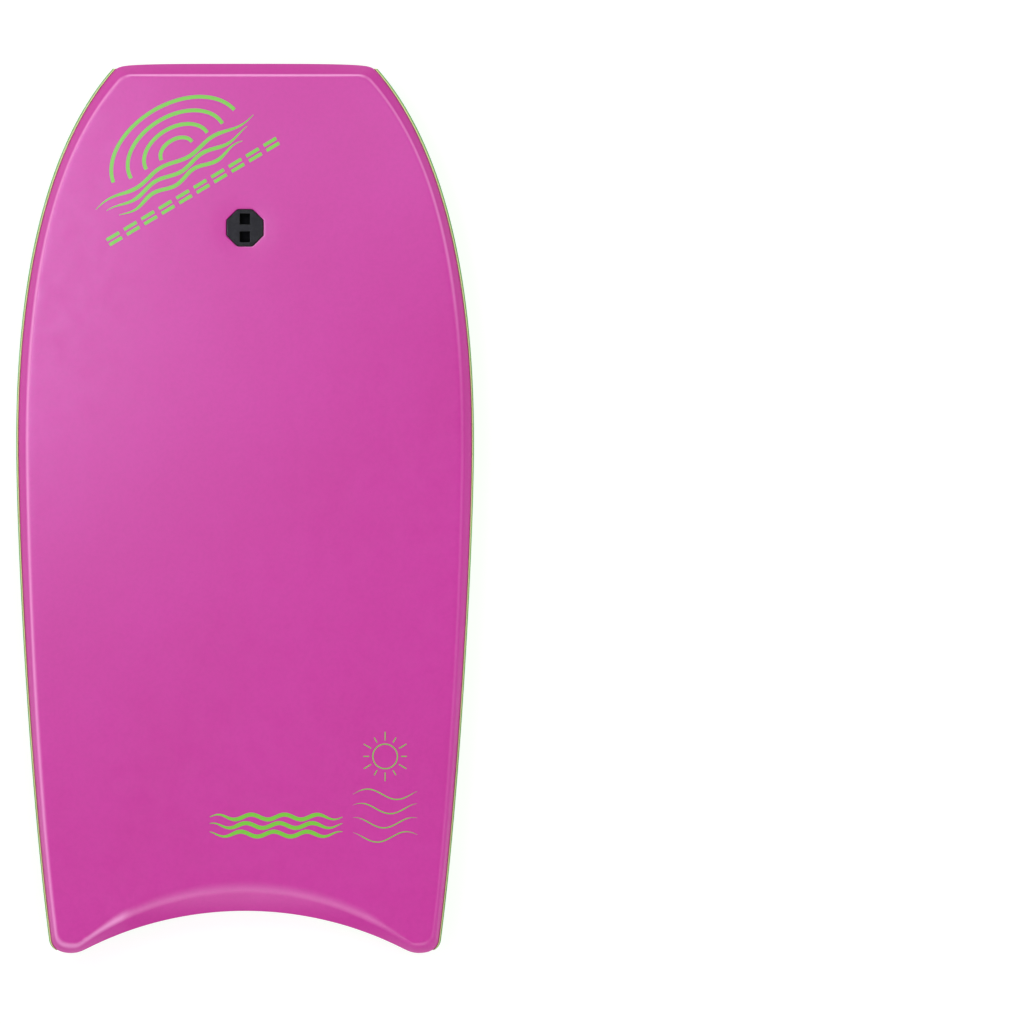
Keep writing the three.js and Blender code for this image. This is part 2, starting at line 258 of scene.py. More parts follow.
def fill(line):
    """A grid of plan points that fills a closed line, and each edge point's index in the line."""
    first = STEPS["nose"] + STEPS["corner"] // 2
    last = first + ROWS
    index = -np.ones((ROWS + 1, COLS + 1), int)
    index[:, 0] = COUNT - first - np.arange(ROWS + 1)
    index[:, COLS] = first + np.arange(ROWS + 1)
    index[0] = (COUNT - first + np.arange(COLS + 1)) % COUNT
    index[ROWS] = COUNT - last - np.arange(COLS + 1)
    at = line[:, :2]
    left, right, front, back = at[index[:, 0]], at[index[:, COLS]], at[index[0]], at[index[ROWS]]
    u = (np.arange(COLS + 1) / COLS)[None, :, None]
    v = ((left[:, 1] - left[0, 1]) / (left[-1, 1] - left[0, 1]))[:, None, None]
    across = left[:, None] * (1 - u) + right[:, None] * u
    along = front[None] * (1 - v) + back[None] * v
    front_chord = front[0] * (1 - u) + front[-1] * u
    back_chord = back[0] * (1 - u) + back[-1] * u
    return across + along - (front_chord * (1 - v) + back_chord * v), index


# ---------------------------------------------------------------- mesh building
NEAR_HALF = 0.48


class Skin:
    """Collects vertices and faces in millimetres."""

    def __init__(self):
        self.points, self.faces, self.slots = [], [], []
        self.slot = 0
        self.painted_highlights = {}

    def add(self, points):
        start = len(self.points)
        self.points.extend(map(tuple, points))
        return np.arange(start, start + len(points))

    def paint_highlight(self, ids, amount):
        """Marks points where a highlight is painted paler into the foam's colour. The amount is 0 to 1, for
        all or for each.
        """
        for i, a in zip(ids, np.broadcast_to(amount, len(ids))):
            self.painted_highlights[int(i)] = float(a)

    def face(self, corners):
        kept = [int(c) for i, c in enumerate(corners) if c != corners[i - 1]]
        if len(kept) > 2:
            self.faces.append(kept)
            self.slots.append(self.slot)

    def band(self, upper, lower, closed=True):
        """Quads between two rings that run clockwise seen from above, or between two open rows."""
        count = len(upper)
        for k in range(count if closed else count - 1):
            n = (k + 1) % count
            self.face([upper[k], upper[n], lower[n], lower[k]])

    def bands(self, rows):
        for upper, lower in zip(rows, rows[1:]):
            self.band(upper, lower)

    def grid(self, ids, up, skip):
        """Quads between the rows of a grid. A cell that skip(row, column) names is left out."""
        rows, cols = ids.shape
        for r in range(rows - 1):
            for c in range(cols - 1):
                if skip(r, c):
                    continue
                quad = [ids[r, c], ids[r + 1, c], ids[r + 1, c + 1], ids[r, c + 1]]
                self.face(quad if up else quad[::-1])

    def make(self, name, materials, smooth_faces=True, angle=None):
        mesh = bpy.data.meshes.new(name)
        mesh.from_pydata([tuple(c * MM for c in p) for p in self.points], [], self.faces)
        for material in materials:
            mesh.materials.append(material)
        mesh.polygons.foreach_set("material_index", self.slots)
        # each point's painted highlight, kept for the material to mix in
        if self.painted_highlights:
            layer = mesh.attributes.new("paint_highlight", "FLOAT", "POINT")
            layer.data.foreach_set("value", [self.painted_highlights.get(i, 0.0) for i in range(len(self.points))])
        obj = bpy.data.objects.new(name, mesh)
        bpy.context.scene.collection.objects.link(obj)
        clean(obj, smooth_faces, angle)
        return obj


def clean(obj, smooth_faces=True, angle=None):
    """Joins points that meet, turns every face outwards and marks the edges over an angle as sharp."""
    bm = bmesh.new()
    bm.from_mesh(obj.data)
    bmesh.ops.remove_doubles(bm, verts=bm.verts, dist=1e-6)
    loose = [v for v in bm.verts if not v.link_faces]
    bmesh.ops.delete(bm, geom=loose, context="VERTS")
    bmesh.ops.recalc_face_normals(bm, faces=bm.faces)
    for f in bm.faces:
        f.smooth = smooth_faces
    for e in bm.edges:
        if angle is not None and len(e.link_faces) == 2:
            e.smooth = e.calc_face_angle(0) < math.radians(angle)
    bm.to_mesh(obj.data)
    bm.free()
    obj.data.update()


def bake(obj):
    """Turns an object's modifiers into its mesh."""
    bpy.context.view_layer.update()
    made = bpy.data.meshes.new_from_object(obj.evaluated_get(bpy.context.evaluated_depsgraph_get()))
    obj.modifiers.clear()
    obj.data = made


def cut(obj, cutter):
    modifier = obj.modifiers.new("cut", "BOOLEAN")
    modifier.operation, modifier.solver, modifier.object = "DIFFERENCE", "EXACT", cutter
    bake(obj)
    bpy.data.objects.remove(cutter)
    bm = bmesh.new()
    bm.from_mesh(obj.data)
    limit = math.radians(0.5)
    bmesh.ops.dissolve_limit(bm, angle_limit=limit, verts=bm.verts, edges=bm.edges, delimit={"MATERIAL"})
    bm.to_mesh(obj.data)
    bm.free()


def wear_edges(obj, width, segments):
    """Rounds the sharp edges, and keeps flat faces looking flat beside them."""
    bevel = obj.modifiers.new("wear_and_painted_highlight", "BEVEL")
    bevel.width, bevel.segments = width * MM, segments
    bevel.limit_method, bevel.angle_limit = "ANGLE", math.radians(50)
    bake(obj)
    clean(obj, angle=40)
    normals = obj.modifiers.new("normals", "WEIGHTED_NORMAL")
    normals.weight, normals.keep_sharp = 100, True
    bake(obj)


def fillet(a, corner, b, reach_a, reach_b, steps):
    """Rings that round a corner ring between its two neighbours. A reach stops short of halfway."""

    def towards(p, reach):
        d = p - corner
        length = np.linalg.norm(d, axis=1)
        return corner + d * (np.minimum(np.asarray(reach, float), length * NEAR_HALF) / length)[:, None]

    p, q = towards(a, reach_a), towards(b, reach_b)
    return [p * (1 - t) ** 2 + corner * 2 * t * (1 - t) + q * t**2 for t in np.linspace(0, 1, steps + 1)]


def between(a, b, shares):
    return [a * (1 - t) + b * t for t in shares]


# ---------------------------------------------------------------- the hole round a plug, inside a grid
HOLE = 6  # cells from the middle to each side of the block that the hole's rings replace
# shares of the way from that block's border in to the hole
DECK_INWARD = [0.12, 0.25, 0.38, 0.5, 0.6, 0.7, 0.78, 0.85, 0.91, 0.96, 1.0]
SLICK_INWARD = [0.08 * k for k in range(1, 12)] + [0.94, 1.0]


def block_round(grid):
    """The rows and columns of a square block of cells centred on the plug, and its clockwise border."""
    middle = COLS // 2
    row = int(np.argmin(np.abs(grid[:, middle, 1] - PLUG_Y)))
    r0, r1, c0, c1 = row - HOLE, row + HOLE, middle - HOLE, middle + HOLE
    border = [(r0, c) for c in range(c0, c1)] + [(r, c1) for r in range(r0, r1)]
    border += [(r1, c) for c in range(c1, c0, -1)] + [(r, c0) for r in range(r1, r0, -1)]
    return r0, r1, c0, c1, border


def circle(radius):
    return lambda angle: (radius * math.cos(angle), radius * math.sin(angle))


def octagon(across, power=60.0):
    """An octagon with its flats on the axes and slightly rounded corners."""

    def at(angle):
        total = sum(max(0.0, math.cos(angle - k * math.pi / 4)) ** power for k in range(8))
        r = across / 2 * total ** (-1 / power)
        return r * math.cos(angle), r * math.sin(angle)

    return at


def around(count, shape):
    """Plan points round the plug's axis, clockwise from the upper left."""
    points = [shape(math.radians(135) - 2 * math.pi * i / count) for i in range(count)]
    return np.array(points) + [0, PLUG_Y]


def sheet_with_hole(skin, line_ring, ring_ids, z, shape, inward, up):
    """Fills a ring with a grid on the surface z, up to the plug's hole. Returns the hole's plan and ids."""
    grid, index = fill(line_ring)
    r0, r1, c0, c1, border = block_round(grid)
    ids = np.where(index >= 0, ring_ids[index], -1)
    for r in range(1, ROWS):
        inner = grid[r, 1:COLS]
        ids[r, 1:COLS] = skin.add(np.column_stack([inner, z(inner[:, 0], inner[:, 1])]))
    skin.grid(ids, up, lambda r, c: r0 <= r < r1 and c0 <= c < c1)
    outer = np.array([grid[r, c] for r, c in border])
    hole = around(len(border), shape)
    last = np.array([ids[r, c] for r, c in border])
    for share in inward:
        plan = outer * (1 - share) + hole * share
        now = skin.add(np.column_stack([plan, z(plan[:, 0], plan[:, 1])]))
        skin.bands([last, now] if up else [now, last])
        last = now
    return hole, last


# ---------------------------------------------------------------- materials
class Surface:
    """One material and its shader nodes, on the object's own coordinates in metres."""

    def __init__(self, name):
        self.material = bpy.data.materials.new(name)
        self.material.use_nodes = True
        self.nodes = self.material.node_tree.nodes
        self.links = self.material.node_tree.links
        self.shader = self.nodes["Principled BSDF"]

    def node(self, kind, **values):
        n = self.nodes.new(kind)
        for key, value in values.items():
            if key in n.inputs:
                n.inputs[key].default_value = value
            else:
                setattr(n, key, value)
        return n

    def texture(self, kind, stretch, **values):
        coords = self.node("ShaderNodeTexCoord")
        mapping = self.node("ShaderNodeMapping", Scale=stretch)
        self.links.new(coords.outputs["Object"], mapping.inputs["Vector"])
        n = self.node(kind, **values)
        self.links.new(mapping.outputs["Vector"], n.inputs["Vector"])
        return n.outputs

    def noise(self, scale, detail=4.0, rough=0.55, stretch=(1, 1, 1)):
        values = dict(Scale=scale, Detail=detail, Roughness=rough)
        return self.texture("ShaderNodeTexNoise", stretch, **values)["Fac"]

    def cells(self, scale, feature="F1"):
        values = dict(Scale=scale, feature=feature)
        return self.texture("ShaderNodeTexVoronoi", (1, 1, 1), **values)["Distance"]

    def ramp(self, value, low, low_colour, high, high_colour):
        n = self.node("ShaderNodeValToRGB")
        for element, at, colour in zip(n.color_ramp.elements, (low, high), (low_colour, high_colour)):
            element.position, element.color = at, (*colour, 1)
        self.links.new(value, n.inputs["Fac"])
        return n.outputs["Color"]

    def spread(self, value, low, high):
        """Maps a noise's usual range, 0.3 to 0.7, to a range of roughness."""
        n = self.node("ShaderNodeMapRange")
        n.inputs["To Min"].default_value, n.inputs["To Max"].default_value = low, high
        n.inputs["From Min"].default_value, n.inputs["From Max"].default_value = 0.3, 0.7
        self.links.new(value, n.inputs["Value"])
        return n.outputs["Result"]

    def mix(self, kind, factor, a, b):
        n = self.node("ShaderNodeMix", data_type="RGBA", blend_type=kind)
        for socket, value in ((n.inputs["Factor"], factor), (n.inputs["A"], a), (n.inputs["B"], b)):
            if isinstance(value, bpy.types.NodeSocket):
                self.links.new(value, socket)
            else:
                socket.default_value = value if isinstance(value, float) else (*value, 1)
        return n.outputs["Result"]

    def darken(self, colour, amount, value, low, shade, high):
        """Darkens a colour where a value is low. The shade fades from low to nothing at high."""
        grey = self.ramp(value, low, (shade,) * 3, high, (1.0,) * 3)
        return self.mix("MULTIPLY", amount, colour, grey)

    def bump(self, heights):
        """Adds up bumps, each a texture, a strength and a depth in metres."""
        normal = None
        for height, strength, distance in heights:
            n = self.node("ShaderNodeBump", Strength=strength, Distance=distance)
            self.links.new(height, n.inputs["Height"])
            if normal is not None:
                self.links.new(normal, n.inputs["Normal"])
            normal = n.outputs["Normal"]
        self.links.new(normal, self.shader.inputs["Normal"])

    def finish(self, colour, rough, rough_range, shine, bumps):
        self.links.new(colour, self.shader.inputs["Base Color"])
        self.links.new(self.spread(rough, *rough_range), self.shader.inputs["Roughness"])
        self.shader.inputs["Specular IOR Level"].default_value = shine
        self.bump(bumps)
        return self.material


def srgb(r, g, b):
    return tuple((c / 255 / 12.92) if c <= 10 else ((c / 255 + 0.055) / 1.055) ** 2.4 for c in (r, g, b))


def foam(name, light, deep, grain, rough, shine, painted_highlight_colour=None):
    """Closed-cell foam skin: faint clouds, fine grain, tiny pits, a soft gloss and highlights painted paler
    where the mesh marks them.
    """
    surface = Surface(name)
    cloud = surface.noise(7.0, detail=6.0, rough=0.62)
    fine = surface.noise(240.0, detail=3.0, rough=0.6)
    pits = surface.cells(620.0)
    colour = surface.ramp(cloud, 0.3, deep, 0.7, light)
    colour = surface.darken(colour, 0.3, fine, low=0.35, shade=0.86, high=0.6)
    colour = surface.darken(colour, 0.3, pits, low=0.0, shade=0.8, high=0.22)
    # mixes in a highlight painted paler where the mesh marks it
    if painted_highlight_colour:
        paint_highlight = surface.node("ShaderNodeAttribute", attribute_name="paint_highlight")
        colour = surface.mix("MIX", paint_highlight.outputs["Fac"], colour, painted_highlight_colour)
    bumps = [(surface.noise(38.0), 0.10 * grain, 0.0012), (fine, 0.16 * grain, 0.0003),
             (pits, 0.10 * grain, 0.0002)]
    return surface.finish(colour, surface.noise(60.0), rough, shine, bumps)


def slick_sheet(name):
    """Extruded polyethylene sheet: a satin face with long faint flow lines and fine handling scuffs."""
    surface = Surface(name)
    lines = surface.noise(26.0, rough=0.6, stretch=(5, 0.25, 1))
    cloud = surface.noise(5.0, detail=3.0)
    scuffs = surface.noise(90.0, detail=6.0, rough=0.75, stretch=(1, 0.12, 1))
    colour = surface.ramp(cloud, 0.25, srgb(76, 184, 38), 0.75, srgb(100, 203, 56))
    colour = surface.darken(colour, 0.25, lines, low=0.3, shade=0.9, high=0.65)
    bumps = [(lines, 0.06, 0.001), (scuffs, 0.05, 0.0003), (surface.noise(300.0), 0.05, 0.0002)]
    return surface.finish(colour, scuffs, (0.26, 0.42), 0.5, bumps)


def moulded_nylon(name):
    """Moulded black nylon: satin, with a fine spark-eroded texture and lighter patches worn by rubbing."""
    surface = Surface(name)
    grain = surface.noise(900.0, detail=3.0, rough=0.6)
    patches = surface.noise(110.0, detail=5.0, rough=0.65)
    colour = surface.ramp(patches, 0.3, srgb(13, 14, 8), 0.7, srgb(22, 23, 15))
    return surface.finish(colour, patches, (0.24, 0.3), 0.1, [(grain, 0.08, 0.0002)])


def nylon_recess_shaded(name):
    """The plug's inner faces: the same nylon straight from the mould, dull, and darker as painted shade in
    the wells and the slot.
    """
    surface = Surface(name)
    grain = surface.noise(700.0, rough=0.6)
    # darker than the outer nylon: painted shade in the hollows
    colour = surface.ramp(grain, 0.3, srgb(7, 8, 7), 0.7, srgb(13, 15, 13))
    return surface.finish(colour, grain, (0.7, 0.85), 0.05, [(grain, 0.15, 0.0002)])


def foam_beads(name):
    """Fused foam beads: pale cells with darker joints."""
    surface = Surface(name)
    joints = surface.cells(330.0, "DISTANCE_TO_EDGE")
    tint = surface.noise(140.0, detail=3.0)
    colour = surface.ramp(joints, 0.0, srgb(206, 206, 198), 0.12, srgb(242, 242, 238))
    colour = surface.darken(colour, 0.3, tint, low=0.3, shade=0.9, high=0.7)
    return surface.finish(colour, tint, (0.7, 0.9), 0.5, [(joints, 0.5, 0.0006)])


def printed_ink(name):
    """Screen-printed ink: even, but slightly broken up by the foam's grain."""
    surface = Surface(name)
    wear_and_painted_highlight = surface.noise(420.0, detail=5.0, rough=0.7)
    colour = surface.ramp(wear_and_painted_highlight, 0.32, srgb(140, 168, 78), 0.44, srgb(114, 196, 42))
    return surface.finish(colour, wear_and_painted_highlight, (0.34, 0.42), 0.25, [(wear_and_painted_highlight, 0.2, 0.0002)])


def lit_table(name):
    """A pale table lit from inside, on which the board casts only a faint shadow."""
    surface = Surface(name)
    colour = surface.ramp(surface.noise(2.0, detail=3.0), 0.3, (0.3,) * 3, 0.7, (0.32,) * 3)
    surface.links.new(colour, surface.shader.inputs["Base Color"])
    surface.shader.inputs["Roughness"].default_value = 0.9
    surface.shader.inputs["Specular IOR Level"].default_value = 0.0
    surface.shader.inputs["Emission Color"].default_value = (1, 1, 1, 1)
    surface.shader.inputs["Emission Strength"].default_value = 0.78
    return surface.material


# the deck pink, and the pale pink of the highlights painted along its edges
PINK = foam("deck_foam_pink", srgb(199, 44, 156), srgb(195, 40, 150), grain=0.8, rough=(0.34, 0.4),
            shine=0.25, painted_highlight_colour=srgb(255, 176, 233))
GREEN = foam("rail_foam_green", srgb(108, 206, 56), srgb(96, 196, 46), grain=1.2, rough=(0.4, 0.55),
             shine=0.4)
CUT_EDGE = foam("cut_foam_edge", srgb(226, 234, 166), srgb(208, 220, 144), grain=2.2, rough=(0.7, 0.9),
                shine=0.2)
# dark green of the welds, also put on the strips' top outer edge as painted shade
WELD_AND_EDGE_SHADE = foam("trim_weld", srgb(74, 166, 40), srgb(52, 138, 26), grain=2.0, rough=(0.35, 0.6), shine=0.5)
SLICK_GREEN = slick_sheet("slick_green")
BEAD_WHITE = foam_beads("core_beads")
PLUG_BLACK = moulded_nylon("plug_black")
PLUG_RECESS_SHADE = nylon_recess_shaded("plug_recess_shaded")
INK = printed_ink("deck_ink")

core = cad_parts["foam_core"]
core.data.materials.clear()
core.data.materials.append(BEAD_WHITE)


# ---------------------------------------------------------------- the deck skin
# the distances over which the skin's rounding and its painted highlights change, on the way round the board
BAY_FADE = (0, 50)
FLANK_FADE = (118, 135)
NOSE_FADE = (440, 452)
TAIL_FADE = (452, 462)
REAR_FADE = (60, 330)
FRONT_FADE = (90, 330)

CREST_REACH = 26  # from the deck's edge inboard to where its grid begins
CREST_ROUND = dict(all=3.3, flank=1.0, rear=1.6, bay_over=6.5, bay_down=2.0, tail=0.5)
CREST_STEPS = 8
CHINE_BULGE = 0.35
CHINE_SHARES = (0.25, 0.5, 0.75)
FOLD_ROUND = 1.6
LIP_ROUND = 0.9
LIP_SHARES = (0.35, 0.7)
INNER = dict(foot=1.1, seam=1.15, deck=0.55)  # how far in the inner face lies, in skin thicknesses
# how strongly highlights are painted paler: on the crest by flank, nose and tail bay, on the left chine, and
# on the plug seat's lip
PAINTED_HIGHLIGHT = dict(left=0.48, right=0.06, right_front=0.32, nose=0.69, bay=0.1, left_chine=0.04, seat=0.42)
SEAT = dict(clearance=0.8, lip=1.15, bore_r=18.1, steps=5)
SEAT_HIGHLIGHT_SIDE = dict(turn=0.7, low=-0.3, high=0.9)


def deck_under_z(x, y):
    return deck_z(x, y) - SKIN_T


def make_deck_skin():
    """One sheet: the deck, its rounded crest, the chine down to the slick, and the inner face."""
    skin = Skin()
    inboard = ring(DECK_EDGE, deck_z, by=CREST_REACH)
    edge = ring(DECK_EDGE, deck_z)
    seam = ring(SEAM, seam_z)
    foot = ring(SLICK_EDGE, slick_z, lift=SLICK_T + GAP)
    x, y = edge[:, 0], edge[:, 1]
    in_bay = smooth(BAY_X - np.abs(x), *BAY_FADE) * (y < 0)
    at_flank = smooth(np.abs(x), *FLANK_FADE)
    at_nose = smooth(y, *NOSE_FADE) * (1 - at_flank)
    at_tail = smooth(-y, *TAIL_FADE)
    at_rear = smooth(-y, *REAR_FADE)

    over = CREST_ROUND["all"] + CREST_ROUND["flank"] * at_flank + CREST_ROUND["rear"] * at_rear
    down = over * (1 + CREST_ROUND["tail"] * at_tail) + CREST_ROUND["bay_down"] * in_bay
    crest = fillet(inboard, edge, seam, over + CREST_ROUND["bay_over"] * in_bay, down, CREST_STEPS)
    fold = fillet(edge, seam, foot, FOLD_ROUND, FOLD_ROUND, 5)
    chine = between(crest[-1], fold[0], CHINE_SHARES)
    chine = [row + [0, 0, CHINE_BULGE * math.sin(math.pi * t)] for row, t in zip(chine, CHINE_SHARES)]
    lip = fillet(seam, foot, foot * [0.97, 0.99, 1], LIP_ROUND, LIP_ROUND, 3)
    inner_face = [
        ring(SLICK_EDGE, slick_z, by=INNER["foot"] * SKIN_T, lift=SLICK_T + GAP),
        ring(SEAM, seam_z, by=INNER["seam"] * SKIN_T),
        ring(DECK_EDGE, deck_z, by=INNER["deck"] * SKIN_T, lift=-SKIN_T),
    ]
    rings = crest + chine + fold + between(fold[-1], lip[0], LIP_SHARES) + lip + inner_face
    ids = [skin.add(r) for r in rings]
    skin.bands(ids)

    # painted highlights along the crest: strongest on the nose and left flank, faint on the right and in the
    # tail bay, with a trace on the left chine
    right = PAINTED_HIGHLIGHT["right"] + PAINTED_HIGHLIGHT["right_front"] * smooth(y, *FRONT_FADE)
    flank = np.where(x < 0, PAINTED_HIGHLIGHT["left"], right) * at_flank
    wear_and_painted_highlight = np.maximum(flank, PAINTED_HIGHLIGHT["nose"] * at_nose) + PAINTED_HIGHLIGHT["bay"] * in_bay
    for i in range(len(crest)):
        skin.paint_highlight(ids[i], wear_and_painted_highlight * math.sin(math.pi * i / CREST_STEPS) ** 2.5)
    for i in range(len(crest) - 2, len(crest) + len(chine)):
        skin.paint_highlight(ids[i], PAINTED_HIGHLIGHT["left_chine"] * at_flank * (x < 0))

    make_plug_seat(skin, rings, ids)
    obj = skin.make("deck_skin_foam", [PINK], angle=50)
    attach(obj, "board")
    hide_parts("deck_skin")


def make_plug_seat(skin, rings, ids):
    """Fills the deck and its inner face up to the plug, and joins them by a lip, a wall and a shelf."""
    across = FLANGE_ACROSS + SEAT["clearance"]
    lip, steps = SEAT["lip"], SEAT["steps"]
    mouth, bore = octagon(across + 2 * lip), circle(SEAT["bore_r"])
    plan, last = sheet_with_hole(skin, rings[0], ids[0], deck_z, mouth, DECK_INWARD, True)
    bore_plan, bore_ids = sheet_with_hole(skin, rings[-1], ids[-1], deck_under_z, bore, DECK_INWARD, False)
    count = len(last)
    # a highlight painted on the side of the lip that faces the upper left
    facing = around(count, lambda a: (math.cos(a + SEAT_HIGHLIGHT_SIDE["turn"]), 0))[:, 0]
    wear_and_painted_highlight = PAINTED_HIGHLIGHT["seat"] * smooth(facing, SEAT_HIGHLIGHT_SIDE["low"], SEAT_HIGHLIGHT_SIDE["high"])
    for k in range(1, steps + 1):
        turn = math.pi / 2 * k / steps
        at = around(count, octagon(across + 2 * lip * (1 - math.sin(turn))))
        z = deck_z(plan[:, 0], plan[:, 1]) - lip * (1 - math.cos(turn))
        now = skin.add(np.column_stack([at, z]))
        skin.band(last, now)
        skin.paint_highlight(now, wear_and_painted_highlight * math.sin(2 * turn))
        last = now
    seat_z = np.full(count, FLANGE_Z - FLANGE_T - GAP)
    wall = skin.add(np.column_stack([around(count, octagon(across)), seat_z]))
    shelf = skin.add(np.column_stack([bore_plan, seat_z]))
    skin.bands([last, wall, shelf, bore_ids])


# ---------------------------------------------------------------- the slick
SLICK_ROUND = 0.55
SLICK_TOP_ROUND = 0.3
SLICK_BORE_R = 8.3
SLICK_REACH = 3


def slick_top_z(x, y):
    return slick_z(x, y) + SLICK_T


def make_slick():
    skin = Skin()
    upper = ring(SLICK_EDGE, slick_z, lift=SLICK_T)
    lower = ring(SLICK_EDGE, slick_z)
    top_in = ring(SLICK_EDGE, slick_z, by=SLICK_REACH, lift=SLICK_T)
    low_in = ring(SLICK_EDGE, slick_z, by=SLICK_REACH)
    rings = fillet(top_in, upper, lower, SLICK_TOP_ROUND, SLICK_TOP_ROUND, 2)
    rings += fillet(upper, lower, low_in, SLICK_ROUND, SLICK_ROUND, 4)
    ids = [skin.add(r) for r in rings]
    skin.bands(ids)
    hole = circle(SLICK_BORE_R)
    _, low = sheet_with_hole(skin, rings[-1], ids[-1], slick_z, hole, SLICK_INWARD, False)
    _, high = sheet_with_hole(skin, rings[0], ids[0], slick_top_z, hole, SLICK_INWARD, True)
    skin.band(high, low)
    obj = skin.make("slick_sheet", [SLICK_GREEN], angle=40)
    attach(obj, "board")
    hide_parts("slick_skin")


# ---------------------------------------------------------------- the rail strips
STRIP_SLOTS = [GREEN, CUT_EDGE, WELD_AND_EDGE_SHADE]
FOAM_FACE, CUT_FACE, MELTED_AND_SHADED_FACE = range(3)
TOP_STEPS = 4
CROWN = dict(out=0.44, rise=0.1, sunk=0.12)
STRIP_ROUND = dict(edge=0.8, outer=1.0)

# the weld line's uneven section: each range is drawn from at random along the rail
WELD_SIDES = 6
WELD_STEP = 3.0
WELD_IN = -0.15
WELD_HALF = (0.35, 1.0)
WELD_DROP = (0.02, 0.34)
WELD_SHIFT = (-0.2, 0.3)
WELD_BURIED = 0.5


def rail_range():
    """The stretch of the right half line that carries a strip, from the nose corner to the tail peg."""
    line = closed_line(NONE)
    last = COUNT // 2 - STEPS["tip"] - STEPS["bay"]
    keep = [k for k in range(STEPS["nose"], last) if STRIP[0][1] <= line[k, 1] <= STRIP[1][1]]
    return keep[0], keep[-1] + 1


def on_side(points, side):
    """Points of the right rail, or their mirror image on the left."""
    return points * [side, 1, 1]


def strip_face(i, count):
    """The look of the band after row i: cut inside, melted at the top and the foot, and foam between. The
    top's darker melted green is also painted shade along its outer edge.
    """
    if i >= count - 2:
        return CUT_FACE
    if i <= TOP_STEPS or i == count - 3:
        return MELTED_AND_SHADED_FACE
    return FOAM_FACE


def make_strip(side):
    k0, k1 = rail_range()
    thick = {k: STRIP_T + GAP if k in ("front", "wide", "peg") else 0 for k in SLICK_EDGE}
    top_out = ring(NONE, seam_z)
    foot_out = ring({k: v - thick[k] for k, v in SLICK_EDGE.items()}, slick_z)
    top_in = ring(SEAM, seam_z, by=-GAP, lift=-CROWN["sunk"])
    foot_in = ring(SLICK_EDGE, slick_z, by=-GAP)
    crown = top_in * (1 - CROWN["out"]) + top_out * CROWN["out"] + [0, 0, CROWN["rise"]]
    top = fillet(top_in, top_out, foot_out, STRIP_ROUND["edge"], STRIP_ROUND["outer"], TOP_STEPS)
    foot = fillet(top_out, foot_out, foot_in, STRIP_ROUND["edge"], STRIP_ROUND["edge"], 4)
    section = [crown] + top + between(top[-1], foot[0], (0.2, 0.4, 0.6, 0.8)) + foot + [foot_in, top_in]
    skin = Skin()
    rows = [skin.add(on_side(points[k0:k1], side)) for points in section]
    count = len(rows)
    for i in range(count):
        skin.slot = strip_face(i, count)
        skin.band(rows[i], rows[(i + 1) % count], closed=False)
    skin.slot = FOAM_FACE
    skin.face([r[0] for r in rows])
    skin.face([r[-1] for r in rows])
    name = "rail_strip_foam_right" if side > 0 else "rail_strip_foam_left"
    obj = skin.make(name, STRIP_SLOTS, angle=50)
    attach(obj, "board")
    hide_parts("rail_strip_right" if side > 0 else "rail_strip_left")


def make_weld(side):
    """The rough heat-trimmed line where the strip meets the slick."""
    k0, k1 = rail_range()
    line = ring(SLICK_EDGE, slick_z, by=WELD_IN)[k0 + 2:k1 - 2]
    fine = []
    for a, b in zip(line, line[1:]):
        n = max(1, int(np.linalg.norm(b - a) / WELD_STEP))
        fine += [a + (b - a) * i / n for i in range(n)]
    fine = np.array(fine)
    skin, rows = Skin(), []
    for before, middle, after in zip(fine, fine[1:], fine[2:]):
        along = after - before
        out = np.array([along[1], -along[0], 0]) / np.linalg.norm(along[:2])
        half = rng.uniform(*WELD_HALF)
        drop = rng.uniform(*WELD_DROP)
        centre = middle - out * rng.uniform(*WELD_SHIFT)
        section = []
        for t in np.linspace(0, 2 * math.pi, WELD_SIDES + 1)[:-1]:
            z = -drop * max(0.0, math.sin(t)) + WELD_BURIED * max(0.0, -math.sin(t))
            section.append(centre + out * half * math.cos(t) + [0, 0, z])
        rows.append(skin.add(on_side(np.array(section), side)))
    skin.bands(rows)
    skin.face(rows[0])
    skin.face(rows[-1][::-1])
    obj = skin.make("trim_weld_right" if side > 0 else "trim_weld_left", [WELD_AND_EDGE_SHADE])
    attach(obj, "board")


# ---------------------------------------------------------------- the leash plug
PLUG_COUNT = 96  # points round it
PLUG_SLOTS = [PLUG_BLACK, PLUG_RECESS_SHADE]
# the darker faces inside the wells and the coin slot, painted shade
SHADED_RECESS_FACE = 1
FLANGE = dict(top=0.945, foot=0.985, round=0.9, foot_round=0.3)
BOWL = dict(radius=17.6, depth=13.5, round=6.0)
SLEEVE = dict(radius=10.5, bore=8.3, chamfer=0.6, top_z=31.0)
TUNNEL = dict(half_width=5.35, half_length=15.1, depth=11.5, round=5.0, clear=3)
BAR = dict(half=3.75, thick=5.0, round=1.6)
CAP = dict(dish=0.6, rim=2.6, slope=2.0, edge=1.0, thick=3.0, top_round=0.4)
CAP_FLOOR = dict(inset=6, rise=0.05)
COIN_SLOT = dict(half_length=11.0, half_width=1.15, coin_r=20.0, depth=2.7, clear=3.0)
COIN_SLOT_TURN = math.radians(141)
THREAD = dict(pitch=2.5, sink=0.3, crest_r=7.8, foot=5.0, top=1.6, fade=6, steps=40)
THREAD_HALF = dict(base=1.0, crest=0.22)


def plug_row(skin, shape, height):
    """A row of points round the plug's axis, clockwise seen from above."""
    plan = [shape(-2 * math.pi * i / PLUG_COUNT) for i in range(PLUG_COUNT)]
    return skin.add([(x, y + PLUG_Y, height) for x, y in plan])


